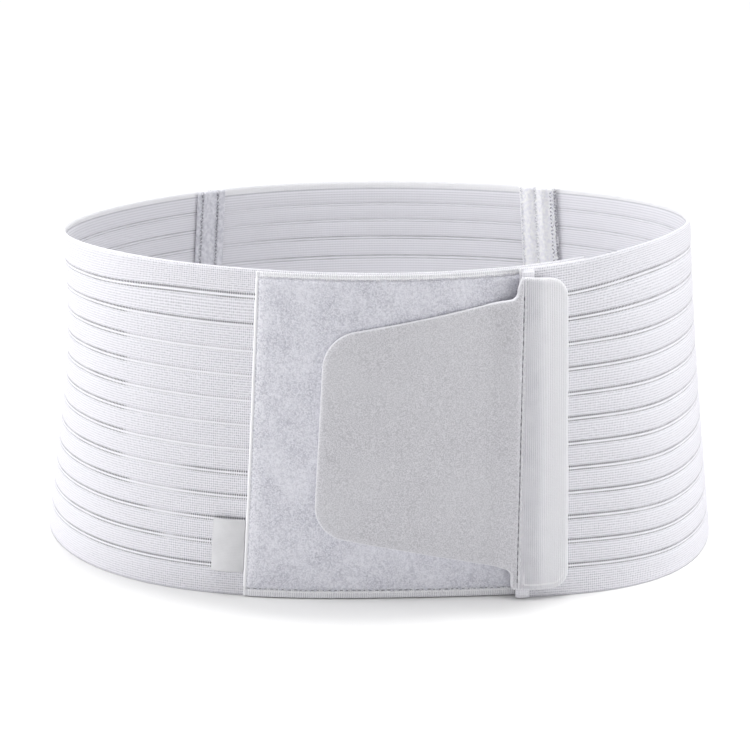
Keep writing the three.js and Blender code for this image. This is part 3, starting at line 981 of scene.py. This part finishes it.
def make_label():
    bm = flat_outline([
        {"s": panel_left(LABEL_BOTTOM) - SEAM_GAP - LABEL_WIDTH, "z": LABEL_BOTTOM, "cut": 0.4},
        {"s": panel_left(LABEL_BOTTOM) - SEAM_GAP, "z": LABEL_BOTTOM, "cut": 0},
        {"s": panel_left(LABEL_TOP) - SEAM_GAP, "z": LABEL_TOP, "cut": 0},
        {"s": panel_left(LABEL_TOP) - SEAM_GAP - LABEL_WIDTH, "z": LABEL_TOP, "cut": 0.4},
    ])
    thicken(bm, LABEL_THICKNESS)
    soften_edges(bm, 0.3)
    slice_up(bm, 0.8, 2.0)

    def swell(s, z, out):
        across = (s - panel_left(z) + SEAM_GAP + LABEL_WIDTH) / LABEL_WIDTH
        return LABEL_SWELL * np.sin(np.pi * np.clip(across, 0, 1))

    move_out(bm, swell)
    piece = make_piece("label_tab_satin", bm, lambda s: left_out(s) + LAYER_GAP, SATIN)
    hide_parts("label_tab")
    return piece


label_tab = make_label()

# %% [markdown]
# Inside the front, a soft patch keeps the ribs off the skin. It shows from behind and through the holes.

# %% The patch
PATCH_THICKNESS = 1.4
UNDER_WEB = -WEB_THICKNESS - LAYER_GAP - 0.44


def make_lining():
    material, tree, shader = new_cloth("lining")
    place = solid_place(tree)
    nap = use_group(tree, PILE, {"Place": place, "Fibre": 0.6, "Patch": 16.0})
    color = blend(tree, nap["Blotch"], (0.8, 0.8, 0.84), (0.87, 0.87, 0.9))
    fill(tree, shader.inputs["Base Color"], color)
    set_relief(tree, shader, nap["Height"], 0.2)
    return material


LINING = make_lining()


def make_inner_patch():
    bm = flat_outline([
        {"s": 26 - PATCH_REACH, "z": PATCH_BOTTOM, "cut": 9},
        {"s": PATCH_RIGHT, "z": PATCH_BOTTOM, "cut": 2},
        {"s": PATCH_RIGHT, "z": PATCH_TOP, "cut": 2},
        {"s": -PATCH_REACH, "z": PATCH_TOP, "cut": 12},
        {"s": 4.5 - PATCH_REACH, "z": 60, "cut": 9},
        {"s": 17 - PATCH_REACH, "z": 44, "cut": 7},
    ])
    thicken(bm, PATCH_THICKNESS)
    soften_edges(bm, 0.4)
    slice_up(bm, 3.0, 4.0)

    def stitched(s, z, out):
        return np.where(out < PATCH_THICKNESS / 2, 0.25 * smooth(4, 0, np.abs(z - PATCH_BOTTOM - 4)), 0)

    move_out(bm, stitched)
    piece = make_piece(
        "inner_patch_cloth", bm, lambda s: left_out(s) + UNDER_WEB - PATCH_THICKNESS, LINING
    )
    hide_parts("inner_patch")
    return piece


inner_patch = make_inner_patch()

# %% [markdown]
# Two plush tapes cover the back seams inside, so that the seams do not rub. The right one is padded
# in two ridges. Plush is uneven, so small noise moves the points of the mesh as well as the shading.
# The crease shade is painted shade: darker colour in the valley between the ridges, along the rows of
# stitches and near the edges of a tape.

# %% The plush
def make_plush(name, dark, light):
    material, tree, shader = new_cloth(name)
    shader.inputs["Sheen Weight"].default_value = 0.4
    place = solid_place(tree)
    pile = use_group(tree, PILE, {"Place": place, "Fibre": 1.0, "Patch": 1.9})
    color = blend(tree, pile["Blotch"], dark, light)
    # Painted shade: crease_shade darkens the pile in the valleys and along the stitch rows.
    crease_shade = calc(tree, "MULTIPLY", read_value(tree, "crease_shade"), fade(tree, pile["Height"], 0.62, 0.4))
    fill(tree, shader.inputs["Base Color"], blend(tree, crease_shade, color, (0.3, 0.3, 0.34)))
    set_relief(tree, shader, pile["Height"], 0.6)
    return material


FLAT_PLUSH = make_plush("flat_plush", (0.68, 0.68, 0.74), (0.86, 0.86, 0.91))
PADDED_PLUSH = make_plush("padded_plush", (0.86, 0.86, 0.92), (1, 1, 1))
TAPE_THICKNESS = 1.1
LEFT_TAPE_WIDTH = 19.6
RIGHT_TAPE_WIDTH = 24.0
RIDGE = 1.7


def hill(share, place, reach):
    return np.exp(-(((share - place) / reach) ** 2))


def no_rise(share):
    return 0 * share


def ridge_rise(share):
    return RIDGE * (hill(share, 0.37, 0.13) + 0.9 * hill(share, 0.74, 0.14))


# Painted shade of each tape, by the share of its width.
def flat_crease_shade(share):
    return 0.9 * hill(share, 0.28, 0.05) + 0.9 * hill(share, 0.84, 0.05)


def padded_crease_shade(share):
    between = 0.6 * hill(share, 0.56, 0.04) + 0.4 * hill(share, 0.93, 0.03)
    return between + 0.8 * (1 - smooth(0.03, 0.1, share))


def make_tape(name, seam, width, rise, crease_shade, material, seed):
    heights = [0.5 + 1.5 * number for number in range(107)]
    start = seam - width / 2
    bm = flat_grid(heights, steady(start), steady(start + width), 44)
    thicken(bm, TAPE_THICKNESS)
    chance = random.Random(seed)

    def plush(s, z, out):
        share = (s - start) / width
        edge = 0.6 * (1 - smooth(0, 0.05, np.minimum(share, 1 - share)))
        tuft = np.array([chance.uniform(-0.16, 0.16) for _ in s])
        return np.where(out < TAPE_THICKNESS / 2, edge + tuft - rise(share), 0)

    move_out(bm, plush)
    share = (flat_places(bm)[:, 0] - start) / width
    piece = make_piece(name + "_plush", bm, steady(UNDER_WEB - TAPE_THICKNESS), material)
    set_values(piece, "crease_shade", crease_shade(share))
    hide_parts(name)
    return piece


left_tape = make_tape("left_seam_tape", LEFT_SEAM, LEFT_TAPE_WIDTH, no_rise, flat_crease_shade, FLAT_PLUSH, 3)
right_tape = make_tape(
    "right_seam_tape", RIGHT_SEAM, RIGHT_TAPE_WIDTH, ridge_rise, padded_crease_shade, PADDED_PLUSH, 5
)

# %% [markdown]
# Stitches are what makes cloth look sewn. One stitch is a small sphere, stretched along its thread.
# A row is a list of places on the flat piece, and every place gets a copy of the stitch's points, so
# hundreds of stitches make one light mesh. A little chance in their lengths keeps a row from looking printed.

# %% Stitches
def make_thread(name, dark, light):
    material, tree, shader = new_cloth(name)
    shader.inputs["Roughness"].default_value = 0.7
    twist = use_group(tree, PILE, {"Place": solid_place(tree), "Fibre": 0.3, "Patch": 3.0})
    fill(tree, shader.inputs["Base Color"], blend(tree, twist["Blotch"], dark, light))
    return material


WHITE_THREAD = make_thread("white_thread", (0.6, 0.6, 0.66), (0.84, 0.84, 0.88))
# Painted shade: these two threads are darker than the real thread, for the shade in the pits where stitches
# sink.
PIT_SHADE_THREAD = make_thread("pit_shade_thread", (0.16, 0.16, 0.18), (0.34, 0.34, 0.37))
PALE_PIT_SHADE_THREAD = make_thread("pale_pit_shade_thread", (0.26, 0.26, 0.29), (0.5, 0.5, 0.54))


def stitch_shape():
    bm = bmesh.new()
    bmesh.ops.create_uvsphere(bm, u_segments=7, v_segments=4, radius=1.0)
    mesh = bpy.data.meshes.new("stitch")
    bm.to_mesh(mesh)
    bm.free()
    return mesh


def sew(name, stitches, base, material):
    shape = stitch_shape()
    bm = bmesh.new()
    for _ in stitches:
        bm.from_mesh(shape)
    unit = flat_places(bm).reshape(len(stitches), -1, 3)
    bpy.data.meshes.remove(shape)
    value = {key: np.array([[stitch[key]] for stitch in stitches]) for key in stitches[0]}
    along = unit[:, :, 0] * value["half_s"]
    up = unit[:, :, 1] * value["half_z"]
    cos = np.cos(value["lean"])
    sin = np.sin(value["lean"])
    s = along * cos - up * sin + value["s"]
    z = along * sin + up * cos + value["z"]
    out = unit[:, :, 2] * value["radius"] + value["out"]
    for vert, place in zip(bm.verts, np.stack([s, z, out], axis=2).reshape(-1, 3)):
        vert.co = place
    return make_piece(name, bm, base, material)


def level_row(start, end, z, out, length, gap, radius, chance):
    row = []
    s = start
    while s < end:
        half = length / 2 * chance.uniform(0.5, 1.3)
        z_now = z + chance.uniform(-0.12, 0.12)
        row.append(dict(s=s + half, z=z_now, out=out, half_s=half, half_z=radius, radius=radius, lean=0))
        s += length + gap
    return row


def upright_row(place, bottom, top, out, length, gap, radius, lean, stray, chance):
    row = []
    z = bottom
    tilt = lean
    while z < top:
        half = length / 2 * chance.uniform(0.8, 1.15)
        s = place(z + half) + chance.uniform(-stray, stray)
        row.append(dict(s=s, z=z + half, out=out, half_s=radius, half_z=half, radius=radius, lean=tilt))
        tilt = -tilt
        z += length + gap
    return row


# %% The rows of stitches
def sew_panel():
    chance = random.Random(11)
    z_top = BELT_HEIGHT + TOP_STITCH_RISE - PANEL_STITCH
    # The lower row is sewn in the darker thread, as painted shade in its stitch pits.
    rows = (("panel_stitches", PANEL_STITCH, PIT_SHADE_THREAD), ("top_stitches", z_top, WHITE_THREAD))
    for name, z, thread in rows:
        row = level_row(panel_left(z) + 2, CLOSURE_PLACE + 6, z, 0.95, 1.7, 1.1, 0.18, chance)
        sew(name, row, lambda s: left_out(s) + LAYER_GAP, thread)


def sew_strip():
    chance = random.Random(13)
    out = STRIP_THICKNESS - 0.8
    rows = upright_row(lambda z: closure_seam(z) + 0.1, 9, 149, out, 2.6, 0.9, 0.36, 0, 0.1, chance)
    # The darker thread stands for painted shade in the seam's stitch pits.
    sew("seam_stitches", rows, strip_base, PIT_SHADE_THREAD)


def sew_tapes():
    chance = random.Random(17)
    inner = UNDER_WEB - TAPE_THICKNESS
    pit_shaded = []
    white = []
    for share in (0.28, 0.84):
        place = LEFT_SEAM + (share - 0.5) * LEFT_TAPE_WIDTH
        pit_shaded += upright_row(steady(place), 2, 158, inner - 0.05, 1.5, 0.5, 0.5, 0.9, 0.35, chance)
        white += upright_row(steady(place + 0.9), 2.8, 158, inner - 0.15, 1.4, 1.1, 0.4, -0.7, 0.25, chance)
    for share, gap, row in ((0.95, 0.3, white), (0.15, 0.6, pit_shaded), (0.11, 0.9, white), (0.03, 0.2, pit_shaded)):
        place = RIGHT_SEAM + (share - 0.5) * RIGHT_TAPE_WIDTH
        row += upright_row(steady(place), 2, 158, inner - 0.1, 1.6, gap, 0.44, 0.8, 0.2, chance)
    # The darker rows are painted shade of the stitch pits.
    sew("tape_stitches", pit_shaded, steady(0), PALE_PIT_SHADE_THREAD)
    sew("white_tape_stitches", white, steady(0), WHITE_THREAD)


sew_panel()
sew_strip()
sew_tapes()

# %% [markdown]
# The photograph is a studio picture on a white ground, taken slightly from above with a long lens.
# Soft light comes from both sides, a little more from the left, so the turned sides of the loop are the
# brightest, and a small soft light looks into the loop. Two broad lights turn the floor white. The upright
# one is wide, and the other comes from behind, so the belt's soft shadow lies in front of it.

# %% The stage
FLOOR_TONE = 0.8
SKY = 0.445


def make_floor():
    bm = bmesh.new()
    bmesh.ops.create_grid(bm, x_segments=1, y_segments=1, size=14)
    mesh = bpy.data.meshes.new("floor")
    bm.to_mesh(mesh)
    bm.free()
    floor = bpy.data.objects.new("floor", mesh)
    bpy.context.scene.collection.objects.link(floor)
    material = bpy.data.materials.new("floor")
    material.use_nodes = True
    shader = material.node_tree.nodes["Principled BSDF"]
    shader.inputs["Base Color"].default_value = (FLOOR_TONE, FLOOR_TONE, FLOOR_TONE, 1)
    shader.inputs["Roughness"].default_value = 1.0
    shader.inputs["Specular IOR Level"].default_value = 0.0
    mesh.materials.append(material)


def aim(lamp, place, target):
    lamp.location = place
    away = np.array(place) - np.array(target)
    level = math.hypot(away[0], away[1])
    lamp.rotation_euler = (math.atan2(level, away[2]), 0, math.atan2(away[0], -away[1]))


def add_softbox(name, place, size, power, target=(0, 0, 0.08), spread=math.pi):
    light = bpy.data.lights.new(name, "AREA")
    light.spread = spread
    light.shape = "RECTANGLE"
    light.size = size[0]
    light.size_y = size[1]
    light.energy = power
    softbox = bpy.data.objects.new(name, light)
    bpy.context.scene.collection.objects.link(softbox)
    aim(softbox, place, target)


def add_broad_light(name, place, power, spread):
    light = bpy.data.lights.new(name, "SUN")
    light.energy = power
    light.angle = spread
    lamp = bpy.data.objects.new(name, light)
    bpy.context.scene.collection.objects.link(lamp)
    aim(lamp, place, (0, 0, 0))


make_floor()
add_softbox("left_softbox", (-1.8, -0.12, 0.3), (0.9, 0.5), 12.3)
add_softbox("right_softbox", (1.8, -0.2, 0.3), (0.9, 0.5), 8.6)
add_softbox("inner_softbox", (-0.3, -0.05, 0.5), (0.25, 0.25), 0.17, (0.12, 0.08, 0.12), 1.2)
add_broad_light("top_light", (0, -0.02, 1), 1.4, 0.5)
add_broad_light("back_light", (0.04, 0.17, 0.985), 1.26, 0.16)

print("lights:", [light.name for light in bpy.data.lights])

world = bpy.data.worlds.new("studio")
world.use_nodes = True
world.node_tree.nodes["Background"].inputs["Color"].default_value = (1, 1, 1, 1)
world.node_tree.nodes["Background"].inputs["Strength"].default_value = SKY
bpy.context.scene.world = world
bpy.context.scene.view_settings.view_transform = "Standard"

# %% The camera
LENS = 86.55
CAMERA_PLACE = (-3.39, -925.8, 334.9)
CAMERA_PITCH = 0.2714


def make_camera():
    data = bpy.data.cameras.new("camera")
    data.lens = LENS
    data.sensor_width = 36
    data.clip_end = 50
    camera = bpy.data.objects.new("camera", data)
    bpy.context.scene.collection.objects.link(camera)
    x = (CAMERA_PLACE[0] + FRAME_SHIFT[0]) * MM
    y = (CAMERA_PLACE[1] + FRAME_SHIFT[1]) * MM
    camera.location = (x, y, CAMERA_PLACE[2] * MM)
    camera.rotation_euler = (math.pi / 2 - CAMERA_PITCH, 0, 0)
    bpy.context.scene.camera = camera


make_camera()
print("the camera stands", round(-CAMERA_PLACE[1]), "mm in front and", round(CAMERA_PLACE[2]), "mm up")
